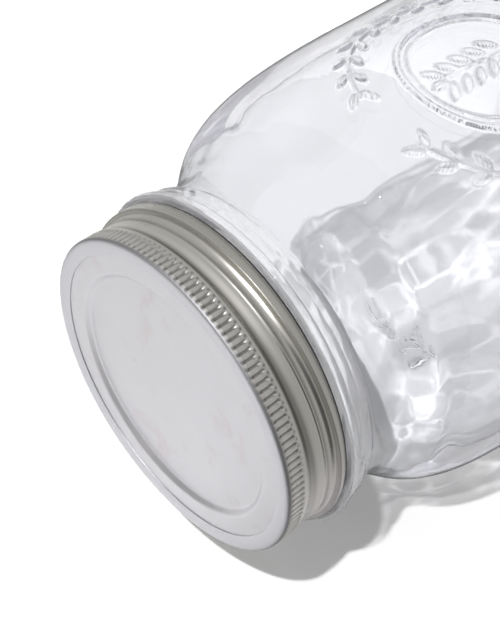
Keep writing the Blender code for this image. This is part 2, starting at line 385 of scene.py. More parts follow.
def lightStudio():
    sun = addObject("sun", bpy.data.lights.new("sun", "SUN"))
    sun.data.energy = math.pi * studio["sunShare"]
    sun.data.angle = math.radians(studio["sunAngle"])
    azimuth, elevation = math.radians(studio["sunAzimuth"]), math.radians(studio["sunElevation"])
    toSun = Vector((math.cos(azimuth) * math.cos(elevation), math.sin(azimuth) * math.cos(elevation),
                    math.sin(elevation)))
    sun.rotation_euler = toSun.to_track_quat("Z", "Y").to_euler()
    world = bpy.data.worlds.new("studio")
    bpy.context.scene.world = world
    world.use_nodes = True
    world.node_tree.nodes.clear()
    start = Signal(world.node_tree)
    ahead = start.node("ShaderNodeTexCoord")
    aim = start.node("ShaderNodeSeparateXYZ", {}, {0: ahead}, output=2)
    more = studio["skyAbove"] - studio["skyBelow"]
    soft = studio["skyBelow"] + start.ramp(aim, *studio["skyBlend"], more)
    toDark = start.node("ShaderNodeVectorMath", {"operation": "DOT_PRODUCT"},
                        {0: ahead, 1: studio["darkSide"]}, output="Value")
    dark = start.ramp(toDark, *studio["darkBlend"]) * start.ramp(aim, *studio["darkRise"])
    dark = wasMirrored(start) * dark
    seen = rayKind(start, "Is Camera Ray")
    strength = soft * (1 - studio["darkShare"] * dark) * (1 - seen) + seen
    sky = start.node("ShaderNodeBackground", {}, {"Color": (*white, 1), "Strength": strength})
    start.node("ShaderNodeOutputWorld", {}, {"Surface": sky})
    print("sun and sky ready")


def stagePlane(name, place, material):
    shape = bmesh.new()
    bmesh.ops.create_grid(shape, x_segments=1, y_segments=1, size=studio["size"] / 2, matrix=place)
    plane = meshObject(name, shape)
    plane.data.materials.append(material)
    print(name, "staged")


# matt white that glows a little, so that it stays white in the picture
def litWhite(start, strength):
    glow = start.node("ShaderNodeEmission", {}, {"Color": (*white, 1), "Strength": strength})
    matt = plain(start, "Diffuse", (studio["white"],) * 3)
    return start.node("ShaderNodeAddShader", {}, {0: matt, 1: glow})


def wallWhite():
    material, start = newMaterial("wallWhite")
    seen = rayKind(start, "Is Camera Ray", "Is Glossy Ray", "Is Transmission Ray")
    lit = litWhite(start, seen * studio["lift"])
    aside = along(start, 1)
    mirrored = wasMirrored(start)
    dim = start.ramp(aside, *studio["shadeBlend"], studio["shade"])
    dim = mirrored * (dim + start.ramp(aside, *studio["backBlend"], studio["backShade"]))
    front = dim.shaders(lit, plain(start, "Diffuse", black))
    behind = start.node("ShaderNodeNewGeometry", output="Backfacing")
    ended = (behind + mirrored * start.ramp(aside, *studio["endBlend"])).clamp()
    finish(start, ended.shaders(front, plain(start, "Transparent", white)))
    return material


# the camera sees it, straight and through glass, and nothing mirrors it
def floorWhite():
    material, start = newMaterial("floorWhite")
    seen = rayKind(start, "Is Camera Ray", "Is Transmission Ray")
    front = litWhite(start, studio["floorLift"])
    finish(start, seen.shaders(plain(start, "Transparent", white), front))
    return material


def buildStage():
    turn = Matrix.Rotation(math.radians(studio["wallAzimuth"]), 4, "Z")
    away = Matrix.Translation((jarLow.x - studio["wallGap"], 0, 0))
    upright = Matrix.Rotation(math.radians(90), 4, "Y")
    stagePlane("wall", turn @ away @ upright, wallWhite())
    stagePlane("floor", Matrix.Translation((0, 0, -studio["floorDrop"])), floorWhite())


# Glass jar

glassJar = {
    "bodyRadius": jarHigh.x,
    "wall": 3.2 * mm,
    "heel": 8.0 * mm,
    "innerHeel": 10.0 * mm,
    "bearing": 2.6 * mm,  # width of the ring it stands on
    "baseWall": 5.5 * mm,
    "pushUp": 3.0 * mm,
    "neckRadius": 36.8 * mm,
    "neckLength": 5.7 * mm,
    "shoulderDrop": 49.3 * mm,
    "boreBlend": 9.0 * mm,
    "boreFoot": 2.0 * mm,
    "finishRadius": 34.5 * mm,
    "lipWall": 3.3 * mm,
    "lipRound": 0.9 * mm,
    "ledge": 1.1 * mm,
    "beadRadius": 39.2 * mm,
    "beadHeight": 2.5 * mm,
    "beadRound": 0.8 * mm,
    "beadFoot": ((0.0, 0.9), (0.4, 0.3)),  # in from the bead and up from the groove, in its rounding
    "grooveRadius": 38.05 * mm,
    "ringRadius": 38.2 * mm,
    "ringHeight": 2.4 * mm,
    "seamRadius": 38.08 * mm,
    "seamHeight": 1.4 * mm,
    "neckFillet": 1.2 * mm,
    "threadHeight": 1.15 * mm,
    "threadPitch": 5.08 * mm,
    "threadStart": 1.8 * mm,
    "threadTurns": 1.25,
    "threadStartAngle": 86.0,
    "runOut": 0.08,  # share of the thread that sinks into the wall at each end
    "sinkDepth": 1.25,  # in thread heights
    "segments": 288,
    "sectors": 12,
    "fineStep": 0.45 * mm,  # where the relief stands
    "beadStep": 0.3 * mm,
    "finishStep": 0.4 * mm,
    "outerStep": 1.5 * mm,
    "coarseStep": 3.0 * mm,
    "innerStep": 6.0 * mm,
    "floorShares": (0, 0.2, 0.4, 0.6, 0.8, 0.95),
    "hollowShares": (0.97, 0.9, 0.75, 0.6, 0.45, 0.3, 0.15, 0),
    # out from the neck and down from its foot
    "shoulderShares": [(0.07, 0.07), (0.15, 0.10), (0.25, 0.14), (0.36, 0.18), (0.58, 0.25),
                       (0.72, 0.33), (0.80, 0.40), (0.87, 0.49), (0.93, 0.61), (0.98, 0.80)],
}

# waves as rows of waves round the jar, height of one radian, start and share
# lumps as waves round, their sway and its height, height of one radian, its shift and waves of that
uneven = {
    "neckLumps": (37, 3.0, 1.3 * mm, 0.8 * mm, 2.3, 5),
    "neckWaves": [(13, -0.9 * mm, 0.0, 1.0), (61, 0.7 * mm, 0.0, 0.6)],
    "neckDepth": 0.035 * mm,
    "neckReach": (146 * mm, 152 * mm),
    "beadSmooth": 0.1 * mm,
    "wallLumps": (23, 2.2, 3.0 * mm, 1.9 * mm, 1.7, 7),
    "lumpDepth": 0.13 * mm,
    "lumpMiddle": 139 * mm,
    "lumpReach": 9 * mm,
    "wallWaves": [(3, math.inf, 1.3, 0.30), (5, 21 * mm, 0.4, 0.28), (9, -15 * mm, 2.1, 0.16),
                  (2, 9 * mm, 0.0, 0.12)],
    "wallDepth": 0.32 * mm,
    "footFade": 12 * mm,
    "topFade": 30 * mm,
    "middle": 1.0 * mm,  # of the floor, which stays as it is
}

relief = {
    "azimuth": -19.0,
    "height": 95.0 * mm,  # of its middle above the base
    "proud": 0.6 * mm,
    "halfAngle": 36.0,  # of the finely meshed patch
    "halfHeight": 31.0 * mm,
    "depth": 8.0 * mm,  # in from the widest part of the jar
    "meshShare": 0.49,  # of the jar's segments that lie in the patch
    "backHalfAngle": 15.0,  # of the patch on the other side
    "backShare": 0.12,
    "edge": 0.32 * mm,  # over which a stroke rises
    "medallion": 17.0 * mm,
    "medallionWidth": 1.1 * mm,
    "innerRing": 15.1 * mm,
    "innerWidth": 0.5 * mm,
    "innerShare": 0.6,  # of the full height
    "wreath": 27.0 * mm,
    "hoopWidth": 0.7 * mm,
    "hoopShare": 0.7,
    "openFrom": 162.0,  # degrees round from the wreath's foot
    "leafStart": 14.0,
    "leafSpan": 148.0,
    "leafPairs": 11,
    "leafAside": 1.9 * mm,
    "leafLean": -0.55,
    "leafSize": (5.2 * mm, 2.0 * mm),
    "leafEdge": (-0.1 * mm, 0.512 * mm),
    "leafPoint": 0.8,  # rounder when smaller
    "veinDepth": 0.45,
    "veinWidth": 0.22 * mm,
}

innerSprig = {
    "stem": 0.55 * mm,
    "stemShare": 0.8,
    "sway": 0.8 * mm,
    "swayRise": 4.0 * mm,
    "halfLength": 11.0 * mm,
    "leafPairs": 5,
    "leafFirst": -5.6 * mm,
    "leafStep": 4.0 * mm,
    "leafOut": 3.0 * mm,
    "leafAngle": 48.0,
    "leafSize": (6.0 * mm, 2.3 * mm),
    "tip": 11.5 * mm,
    "tipSize": (5.0 * mm, 2.6 * mm),
}

backSprig = {
    "stem": 0.6 * mm,
    "lean": 0.35,
    "halfLength": 11.0 * mm,
    "leafPairs": 4,
    "leafFirst": -9.0 * mm,
    "leafStep": 5.4 * mm,
    "leafAhead": 1.5 * mm,
    "leafOut": 2.9 * mm,
    "leafAngle": 0.95,
    "leafSize": (6.5 * mm, 3.0 * mm),
    "tip": 12.5 * mm,
}


def glassLevels():
    jar = glassJar
    ringTop = beadTop - jar["beadHeight"]
    seamTop = ringTop - jar["ringHeight"]
    neckTop = seamTop - jar["seamHeight"] - jar["neckFillet"]
    shoulderTop = neckTop - jar["neckLength"]
    return ringTop, seamTop, neckTop, shoulderTop


def shoulderLine(neck, body, top):
    points = [(neck, top)]
    for outShare, downShare in glassJar["shoulderShares"]:
        points.append((neck + outShare * (body - neck), top - downShare * glassJar["shoulderDrop"]))
    return points + [(body, top - glassJar["shoulderDrop"])]


# a round ring on the neck
def swell(top, height, crest, steps):
    root = glassJar["grooveRadius"]
    shares = [i / steps for i in range(1, steps + 1)]
    return [(root + (crest - root) * math.sin(math.pi * s) ** 0.5, top - height * s) for s in shares]


def jarOutline():
    jar = glassJar
    ringTop, seamTop, neckTop, shoulderTop = glassLevels()
    body, heel, lipRound, beadRound = (jar[k] for k in ("bodyRadius", "heel", "lipRound", "beadRound"))
    innerRadius = body - jar["wall"]
    floorRadius = innerRadius - jar["innerHeel"]
    bore = jar["finishRadius"] - jar["lipWall"]
    inside = [(floorRadius * s, jar["baseWall"] + jar["pushUp"] * (1 - s * s)) for s in jar["floorShares"]]
    inside += arc((floorRadius, jar["baseWall"] + jar["innerHeel"]), jar["innerHeel"], -88, 0, 10)
    rise = shoulderLine(jar["neckRadius"] - jar["wall"], innerRadius, shoulderTop)[::-1]
    inside += smoothLine([inside[-1]] + rise[:1], jar["innerStep"])[1:-1]
    boreFoot = shoulderTop + jar["boreBlend"]
    rise += [(bore, boreFoot), (bore, boreFoot + jar["boreFoot"])]
    inside += smoothLine(rise, jar["coarseStep"])
    made = arc((bore + lipRound, lipHeight - lipRound), lipRound, 180, 90, 5)
    made += arc((jar["finishRadius"] - lipRound, lipHeight - lipRound), lipRound, 90, 0, 5)
    ledge = arc((jar["finishRadius"] + jar["ledge"], beadTop + jar["ledge"]), jar["ledge"], 180, 270, 4)
    made += divide([made[-1], ledge[0]], jar["finishStep"])[1:-1] + ledge
    made += arc((jar["beadRadius"] - beadRound, beadTop - beadRound), beadRound, 90, 0, 6)
    foot = [(jar["beadRadius"] - back * beadRound, ringTop + up * beadRound) for back, up in jar["beadFoot"]]
    made += smoothLine(foot + [(jar["grooveRadius"], ringTop)], jar["beadStep"])
    made += swell(ringTop, jar["ringHeight"], jar["ringRadius"], 10)
    made += swell(seamTop, jar["seamHeight"], jar["seamRadius"], 6)
    drop = [made[-1], (jar["neckRadius"], neckTop)] + shoulderLine(jar["neckRadius"], body, shoulderTop)
    outside = smoothLine(drop, jar["outerStep"])[1:]
    outside += divide([outside[-1], (body, heel)], jar["outerStep"])[1:-1]
    outside += arc((body - heel, heel), heel, 0, -90, 12)
    hollow = body - heel - jar["bearing"]
    outside += [(hollow + jar["bearing"] / 2, 0), (hollow, 0)]
    outside += [(hollow * s, jar["pushUp"] * (1 - s * s)) for s in jar["hollowShares"]]
    return refinePatch(inside + made + outside)


# rows crowd together where the relief stands
def refinePatch(outline):
    low, high = relief["height"] - relief["halfHeight"], relief["height"] + relief["halfHeight"]
    made = []
    for a, b in zip(outline, outline[1:]):
        outer = min(a[0], b[0]) > glassJar["bodyRadius"] - relief["depth"] and a[1] > b[1]
        inPatch = outer and low < (a[1] + b[1]) / 2 < high
        made += stretch(a, b, max(1, round(math.dist(a, b) / glassJar["fineStep"])) if inPatch else 1)
    return made + [outline[-1]]


# columns crowd together there too
def crowdColumns(turn):
    front, back = math.radians(relief["halfAngle"]), math.pi - math.radians(relief["backHalfAngle"])
    middle = math.radians(relief["azimuth"])
    even = wrapTurn(turn - middle)
    near, far = relief["meshShare"] * math.pi, (1 - relief["backShare"]) * math.pi
    return middle + np.interp(even, [-math.pi, -far, -near, near, far, math.pi],
                              [-math.pi, -back, -front, front, back, math.pi])


def leafShape(x, y, spot, angle, size):
    c, s = math.cos(angle), math.sin(angle)
    ahead = ((x - spot[0]) * c + (y - spot[1]) * s) / (size[0] / 2)
    across = -(x - spot[0]) * s + (y - spot[1]) * c
    reach = size[1] / 2 * np.clip(1 - ahead**2, 0, 1) ** relief["leafPoint"]
    inside = np.where(np.abs(ahead) < 1, reach - np.abs(across), -1.0)
    vein = 1 - relief["veinDepth"] * np.exp(-((across / relief["veinWidth"]) ** 2))
    return smoothStep(*relief["leafEdge"], inside) * vein


def ringShape(distance, radius, width):
    return smoothStep(0, relief["edge"], width / 2 + relief["edge"] / 2 - np.abs(distance - radius))


# a wreath of leaves round a plain medallion with a sprig in it
def reliefHeight(x, y):
    far = np.hypot(x, y)
    closed = np.abs(np.arctan2(x, -y)) < math.radians(relief["openFrom"])
    shapes = [ringShape(far, relief["medallion"], relief["medallionWidth"]),
              relief["innerShare"] * ringShape(far, relief["innerRing"], relief["innerWidth"]),
              relief["hoopShare"] * ringShape(far, relief["wreath"], relief["hoopWidth"]) * closed]
    for i in range(relief["leafPairs"]):
        place = math.radians(relief["leafStart"] + i * relief["leafSpan"] / (relief["leafPairs"] - 1))
        for side in (-1, 1):
            for lean in (-1, 1):
                reach = relief["wreath"] + lean * relief["leafAside"]
                spot = (side * reach * math.sin(place), -reach * math.cos(place))
                angle = place + lean * relief["leafLean"]
                angle = angle if side > 0 else math.pi - angle
                shapes.append(leafShape(x, y, spot, angle, relief["leafSize"]))
    sprig = innerSprig
    bent = np.abs(x - sprig["sway"] * np.sin(y / sprig["swayRise"]))
    stem = smoothStep(0, relief["edge"], sprig["stem"] - bent)
    shapes.append(sprig["stemShare"] * stem * (np.abs(y) < sprig["halfLength"]))
    for i in range(sprig["leafPairs"]):
        for side in (-1, 1):
            spot = (side * sprig["leafOut"], sprig["leafFirst"] + i * sprig["leafStep"])
            angle = math.radians(90 - side * sprig["leafAngle"])
            shapes.append(leafShape(x, y, spot, angle, sprig["leafSize"]))
    shapes.append(leafShape(x, y, (0, sprig["tip"]), math.pi / 2, sprig["tipSize"]))
    return np.maximum.reduce(shapes)


# a smaller sprig on the other side
def sprigHeight(x, y):
    sprig = backSprig
    lean = sprig["lean"]
    stem = smoothStep(0, relief["edge"], sprig["stem"] - np.abs(y - lean * x))
    shapes = [stem * (np.abs(x) < sprig["halfLength"])]
    for i in range(sprig["leafPairs"]):
        place = sprig["leafFirst"] + i * sprig["leafStep"]
        for side in (-1, 1):
            spot = (place + sprig["leafAhead"], lean * place + side * sprig["leafOut"])
            shapes.append(leafShape(x, y, spot, lean + side * sprig["leafAngle"], sprig["leafSize"]))
    shapes.append(leafShape(x, y, (sprig["tip"], lean * sprig["tip"]), lean, sprig["leafSize"]))
    return np.maximum.reduce(shapes)


def threadSwell(out, turn, up):
    jar = glassJar
    start = math.radians(jar["threadStartAngle"])
    begun = (start - turn) % math.tau
    made = np.zeros_like(out)
    for lap in range(math.ceil(jar["threadTurns"])):
        gone = begun + lap * math.tau
        share = gone / (math.tau * jar["threadTurns"])
        middle = lipHeight - jar["threadStart"] - jar["threadPitch"] * gone / math.tau
        toEnd = np.minimum(share, 1 - share) / jar["runOut"]
        sunk = jar["sinkDepth"] * jar["threadHeight"] * np.clip(1 - toEnd, 0, 1) ** 2
        rise = np.sqrt(np.clip(jar["threadHeight"] ** 2 - (up - middle) ** 2, 0, None)) - sunk
        made = np.maximum(made, np.where((share >= 0) & (share <= 1), rise, 0))
    return made


def waveSum(turn, up, rows):
    return sum(share * np.sin(waves * turn + up / rise + begin) for waves, rise, begin, share in rows)


def lumpSum(turn, up, shape):
    waves, sway, swayRise, rise, shift, shiftWaves = shape
    across = np.sin(waves * turn + sway * np.sin(up / swayRise))
    return across * np.sin(up / rise + shift * np.sin(shiftWaves * turn))


# small uneven lumps on the bead and the neck
def neckLumps(turn, up):
    made = lumpSum(turn, up, uneven["neckLumps"]) + waveSum(turn, up, uneven["neckWaves"])
    return made * smoothStep(*uneven["neckReach"], up) * uneven["neckDepth"]


# slow waves, as moulded glass has on its inner face
def wallWaves(turn, up):
    nearNeck = np.exp(-((up - uneven["lumpMiddle"]) / uneven["lumpReach"]) ** 2)
    made = waveSum(turn, up, uneven["wallWaves"]) * uneven["wallDepth"]
    made += lumpSum(turn, up, uneven["wallLumps"]) * nearNeck * uneven["lumpDepth"]
    fade = smoothStep(0, uneven["footFade"], up - glassJar["baseWall"])
    return made * fade * smoothStep(0, uneven["topFade"], beadTop - up)


def makeGlassJar():
    jar = glassJar
    piece = spinPiece("glassJar", jarOutline(), jar["sectors"], jar["segments"] // jar["sectors"])
    out, turn, up = readPoints(piece)
    turn = crowdColumns(turn)
    onOuter = out > np.interp(up, *outerLine()) - jar["wall"] / 2
    x = wrapTurn(turn - math.radians(relief["azimuth"])) * jar["bodyRadius"]
    xBehind = wrapTurn(turn - math.radians(relief["azimuth"] + 180)) * jar["bodyRadius"]
    y = up - relief["height"]
    inPatch = onOuter & (np.abs(y) < relief["halfHeight"])
    made = np.where(inPatch & (np.abs(x) < relief["halfHeight"]), reliefHeight(x, y), 0)
    made += np.where(inPatch & (np.abs(xBehind) < relief["halfHeight"]), sprigHeight(-xBehind, y), 0)
    # where the relief's steep slopes get painted shade
    addValues(piece, "stroke", 4 * made * (1 - made))
    rise = relief["proud"] * made
    onFinish = (np.abs(out - jar["finishRadius"]) < same) & (up > beadTop)
    rise += np.where(onFinish, threadSwell(out, turn, up), 0)
    rise += np.where(onOuter & (up < beadTop - uneven["beadSmooth"]), neckLumps(turn, up), 0)
    inner = ~onOuter & (up < beadTop) & (out > uneven["middle"])
    rise += np.where(inner, wallWaves(turn, up), 0)
    writePoints(piece, out + rise, turn, up)
    dress(piece, "glass_jar", "jar", clearGlass())


# heights and radii up the outer wall, for telling the outer face from the inner one
def outerLine():
    top = glassLevels()[-1]
    line = shoulderLine(glassJar["neckRadius"], glassJar["bodyRadius"], top)[::-1]
    line = [(glassJar["bodyRadius"] - glassJar["heel"], 0), (glassJar["bodyRadius"], glassJar["heel"])] + line
    line.append((glassJar["neckRadius"], lipHeight))
    return [up for out, up in line], [out for out, up in line]


glassLook = {
    "squash": (1, 1, 0.6),  # of the patterns
    "ripple": (55.0, 2.0),  # scale and detail
    "bump": (0.05, 1.0 * mm),
    "index": 1.5,
    # its colour where it is seen straight on, 0, to from the side, 1: darker from the side, partly for the
    # longer path through the glass and partly as painted shade for the dark edges that its refraction shows
    "slantShadeColors": [(0.0, (0.92, 0.925, 0.945)), (0.7, (0.92, 0.925, 0.945)), (0.85, (0.65, 0.66, 0.68)),
                    (0.98, (0.2, 0.21, 0.24))],
    "rim": (0.72, 0.98),
    "rimRoughness": 0.3,
    # painted shade: a dark line along the glass's silhouettes, for the dark edges that its refraction shows
    "outline": (0.83, 0.95),
    "outlineShare": 0.85,
    "outlineShadeColor": (0.2, 0.21, 0.21),
    "beadPale": 0.16,  # so much later the painted side shade darkens the bead and the neck's rings
    "paleReach": (beadTop - 8 * mm, beadTop - 5 * mm),
    "haze": 0.16,  # of milky white in them
    "hazeReach": ((beadTop - 7.5 * mm, beadTop - 6 * mm), (beadTop + 0.6 * mm, beadTop + 0.1 * mm)),
    "hazeColor": (0.9, 0.9, 0.92),
    "turnsInside": 1.5,  # light that has been mirrored more often goes straight on
    "straightColor": (0.9, 0.9, 0.92),
    "reliefShadeColor": (0.4, 0.4, 0.42),  # painted shade on the relief's steep edges, for the dark lines that refraction shows there
    "reliefShadeShare": 0.85,
    "reliefShadeNoise": (190.0, 2.0),
    "reliefShadeBreaks": (0.38, 0.56),
    "skirtShadowColor": (0.13, 0.13, 0.13),  # painted shadow: the dark line under the band's skirt, along the bead's top
    "skirtShadowReach": ((beadTop - 0.55 * mm, beadTop - 0.25 * mm), (beadTop + 0.5 * mm, beadTop)),
    "edge": 0.4,
    "shade": -0.08,  # of its shadow where it is thin and clear
    "sideShade": (1.3, 0.85),  # how much its slanted parts shade, on the -Y side and on the +Y side
    "sideReach": 35 * mm,
    "patchScale": 125.0,  # of the light and dark patches in its shadow
    "patchBend": 10.0 * mm,
    "bendNoise": (60.0, 2.0),
    "patchShade": 0.24,
    "patchDepth": 0.95,
    "lineWidth": 0.14,  # of the bright lines between them
    "lineShare": 0.8,
    "lineBreaks": (0.45, 0.6),
    "bright": (1.03, 1.03, 1.03),
    "brightest": (1.7, 1.7, 1.7),
    "darkest": (0.5, 0.5, 0.51),
}


def clearGlass():
    look = glassLook
    material, start = newMaterial("clearGlass")
    spots = objectSpots(start, look["squash"])
    up = along(start, 2)
    slant = start.node("ShaderNodeLayerWeight", {}, {"Blend": 0.5}, output="Facing")
    slant = slant - start.ramp(up, *look["paleReach"], look["beadPale"])
    rim = start.ramp(slant, *look["rim"])
    # painted shade along the relief's slopes, broken up by noise
    broken = noise(start, spots, *look["reliefShadeNoise"])
    broken = start.ramp(broken, *look["reliefShadeBreaks"], look["reliefShadeShare"])
    # painted shade: the glass turns darker towards the side, partly for its longer path and partly for its
    # dark refracted edges
    clear = start.node("ShaderNodeValToRGB", {"stops": look["slantShadeColors"]}, {"Fac": slant})
    lined = (attribute(start, "stroke") * broken).colors(clear, look["reliefShadeColor"])
    # painted shadow: a dark line on the bead just under the band's skirt
    tint = start.zone(up, *look["skirtShadowReach"]).colors(lined, look["skirtShadowColor"])
    rough = look["rimRoughness"] * rim * rim * rim
    glass = surface(start, tint, rough, noise(start, spots, *look["ripple"]), look["bump"],
                    {"IOR": look["index"], "Transmission Weight": 1.0})
    # painted shade: a dark line along the silhouettes
    outline = start.ramp(slant, *look["outline"], look["outlineShare"])
    outlined = outline.shaders(glass, plain(start, "Diffuse", look["outlineShadeColor"]))
    hazy = look["haze"] * start.zone(up, *look["hazeReach"])
    hazed = hazy.shaders(outlined, plain(start, "Diffuse", look["hazeColor"]))
    trapped = wasMirrored(start, look["turnsInside"])
    seen = trapped.shaders(hazed, plain(start, "Transparent", look["straightColor"]))
    unseen = rayKind(start, "Is Shadow Ray", "Is Diffuse Ray")
    finish(start, unseen.shaders(seen, glassShadow(start, spots)))
    return material


# its shadow: darker where the glass is slanted, with patches and bright lines where light leaves it
def glassShadow(start, spots):
    look = glassLook
    facing = start.node("ShaderNodeLayerWeight", {}, {"Blend": look["edge"]}, output="Facing")
    scale, detail = look["bendNoise"]
    bends = start.node("ShaderNodeTexNoise", {}, {"Vector": spots, "Scale": scale, "Detail": detail}, "Color")
    bent = start.node("ShaderNodeVectorMath", {"operation": "MULTIPLY_ADD"},
                      {0: bends, 1: (look["patchBend"],) * 3, 2: spots})
    cells = {"Vector": bent, "Scale": look["patchScale"]}
    patches = start.node("ShaderNodeTexVoronoi", {"feature": "F1"}, cells, output="Color")
    toEdge = start.node("ShaderNodeTexVoronoi", {"feature": "DISTANCE_TO_EDGE"}, cells)
    leaving = start.node("ShaderNodeNewGeometry", output="Backfacing")
    patched = leaving * (look["patchShade"] + look["patchDepth"] * (patches - 0.5))
    nearShade, farShade = look["sideShade"]
    sided = nearShade + start.ramp(along(start, 1), 0, look["sideReach"], farShade - nearShade)
    thick = (sided * facing + patched + look["shade"]).clamp()
    kinds = ("bright", "darkest", "brightest")
    bright, dark, brightest = (plain(start, "Transparent", look[k]) for k in kinds)
    lines = leaving * start.ramp(toEdge, look["lineWidth"], 0, look["lineShare"])
    return (lines * start.ramp(bends, *look["lineBreaks"])).shaders(thick.shaders(bright, dark), brightest)


# Screw band

screwBand = {
    "sheet": 0.5 * mm,
    "flangeWidth": 3.65 * mm,
    "flangeRound": 0.9 * mm,
    "boreDrop": 0.3 * mm,  # of the flange's edge below its face
    "boreRound": 0.12 * mm,
    "boreSlope": 1.6 * mm,
    "slopeRound": 1.0 * mm,
    "knurlRadius": 36.85 * mm,
    "knurlTop": 0.9 * mm,
    "knurlLength": 3.5 * mm,
    "knurlCount": 144,
    "grooveDepth": 0.45 * mm,
    "grooveWidth": (0.15, 0.17, 0.05),  # half of it in spacings: anywhere, more at its foot, more at its head
    "grooveEdge": (-0.06, 0.09),
    "footWide": (1.3 * mm, 0.2 * mm),  # up from the grooves' foot
    "footFade": (-0.3 * mm, 0.9 * mm),
    "headWide": (-0.7 * mm, -0.1 * mm),  # up from their head
    "headFade": (-0.35 * mm, 0.1 * mm),
    "grooveInside": 0.2 * mm,  # out from the wall
    "wallRadius": 36.0 * mm,
    "waistRadius": 36.5 * mm,
    "ridgeHeight": 0.8 * mm,
    "ridgeBase": 2.2 * mm,
    "ridgeTip": 0.8 * mm,
    "ridgeFade": 20.0,
    "ridgeBelow": 1.612 * mm,
    "ridgeInset": (0.2 * mm, 0.4 * mm),
    "stepProud": 0.35 * mm,
    "stepDrop": 3.2 * mm,
    "stepWidth": 0.5 * mm,
    "flareDrop": 3.6 * mm,
    "flareRound": 0.35 * mm,
    "skirtRadius": 38.0 * mm,
    "hemInset": 0.35 * mm,
    "hemRound": 0.2 * mm,
    "hemSlope": 0.1 * mm,
    "innerRound": 0.3 * mm,
    "frontAngle": -45.0,
    "rolledHalf": 135.0,  # of the turn over which the thread is rolled
    "easeTop": 5.0 * mm,  # below the band's top, where the outer face is straight again
    "easeFoot": 0.4 * mm,
    "columnsPerGroove": 8,
    "groovesPerSector": 4,
    "rowStep": 0.5 * mm,
    "innerStep": 2.0 * mm,
    # the outer face below the knurl: mm out from the wall and mm up from the thread's ridge
    "sideShape": [(0.74, 3.85), (0.76, 3.5), (0.77, 3.1), (0.71, 2.86), (0.51, 2.63), (0.38, 2.44),
                  (0.34, 2.15), (0.35, 1.7), (0.385, 1.25), (0.425, 0.8), (0.46, 0.4), (0.48, 0.0),
                  (0.47, -0.35), (0.46, -0.65), (0.51, -0.84), (0.575, -1.02), (0.605, -1.18), (0.56, -1.42),
                  (0.50, -1.75), (0.49, -2.3), (0.56, -2.75), (0.68, -3.0), (0.82, -3.28), (0.98, -3.45),
                  (1.5, -3.6), (1.92, -3.68), (1.95, -3.8), (1.97, -4.2), (1.98, -5.4), (1.85, -5.95)],
}

bandLook = {
    "cloudColors": ((0.77, 0.75, 0.68), (0.84, 0.825, 0.77)),
    "clouds": (90.0, 3.0),  # scale and detail
    "paintedSideColor": (0.84, 0.805, 0.795),  # painted reflection: paler and pinker towards -X and -Y
    "paintedSideReach": (-30 * mm, -50 * mm),
    "lowClear": 0.8,  # of the painted corner shade, which fades on the painted side
    # painted sheen: the knurl, and the thread's ridge by the share below, are painted paler
    "knurlSheenColor": (0.95, 0.925, 0.88),
    "faceColor": (0.63, 0.63, 0.655),
    # dark colour that the painted shade in the band's zones blends towards
    "shadeColor": (0.05, 0.048, 0.045),
    "lineSquash": (1, 1, 9),
    "lines": (260.0, 4.0, 0.6),
    "bump": (0.12, 0.05 * mm),
    "faceReach": (bandTop - 1.1 * mm, bandTop - 0.5 * mm),
    "wornReach": (bandTop - 1.6 * mm, bandTop - 1.1 * mm),
    # painted shadow along the hem, where the skirt meets the bead
    "hemShadeReach": (bandBottom + 0.7 * mm, bandBottom + 0.3 * mm),
    # soft steps at the start and the end of a zone, in mm up from the thread's ridge
    "knurl": (3.2, 3.7),
    "corner": ((1.0, 1.8), (3.2, 2.9)),
    "waist": ((-0.6, -0.2), (2.1, 1.7)),
    "ridge": ((1.2, 0.5), (-0.9, -0.5)),
    "flare": ((-4.1, -3.8), (-3.3, -3.5)),
    # painted sheen on the thread's ridge
    "ridgeSheen": 0.7,
    # how strongly painted shade darkens each zone
    "hemShade": 0.95,
    "insideShade": 0.8,
    "insideSlope": -0.05,  # of normals that point inwards
    # painted shade in the flare, which dims a second highlight, and in the corner below the knurl
    "flareShade": 0.45,
    "cornerShade": 0.45,
    "grooveShade": 0.6,
    "roundShade": 0.45,  # painted shade on the flange's outer edge, which dims its highlight
    "roundReach": ((1.0 * mm, 0.7 * mm), (0.05 * mm, 0.25 * mm)),  # below the band's top
    "roundWidth": 1.2 * mm,
    "roughness": 0.22,
    "cloudRough": 0.08,
    "lineRough": 0.05,
    "shadeRough": 0.2,
    "wornRough": 0.2,
    "waistRough": 0.14,
}


def ridgeHeightAtFront():
    jar = glassJar
    thread = lipHeight - jar["threadStart"]
    thread -= jar["threadPitch"] * (jar["threadStartAngle"] - screwBand["frontAngle"]) / 360
    return thread - screwBand["ridgeBelow"]


def bandOutline():
    band = screwBand
    middle = ridgeHeightAtFront()
    knurl, wall, skirt, sheet, corner = (
        band[k] for k in ("knurlRadius", "wallRadius", "skirtRadius", "sheet", "innerRound"))
    bore = knurl - band["flangeWidth"]
    under = bandTop - sheet
    face = [(bore, under, 0), (bore, bandTop - band["boreDrop"], band["boreRound"]),
            (bore + band["boreSlope"], bandTop, band["slopeRound"]), (knurl, bandTop, band["flangeRound"]),
            (knurl, bandTop - band["knurlTop"] - band["knurlLength"], 0)]
    side = smoothLine([(wall + out * mm, middle + up * mm) for out, up in band["sideShape"]], band["rowStep"])
    hem = [(skirt - band["hemInset"], bandBottom, band["hemRound"]),
           (skirt - sheet - band["hemSlope"], bandBottom, 0)]
    inner = [
        hem[-1],
        (skirt - sheet, middle - band["flareDrop"] - sheet, band["flareRound"]),
        (wall + band["stepProud"], middle - band["stepDrop"] - band["stepWidth"], corner),
        (wall, middle - band["ridgeBase"] / 2, corner),
        (wall - band["ridgeHeight"], middle - band["ridgeTip"] / 2, corner),
        (wall - band["ridgeHeight"], middle + band["ridgeTip"] / 2, corner),
        (wall, middle + band["ridgeBase"] / 2, corner),
        (wall, under, corner),
        face[0],
    ]
    outer = softCorners(face + [(*point, 0) for point in side] + hem)
    return divide(outer, band["rowStep"])[:-1] + divide(softCorners(inner, 1), band["innerStep"])[:-1]


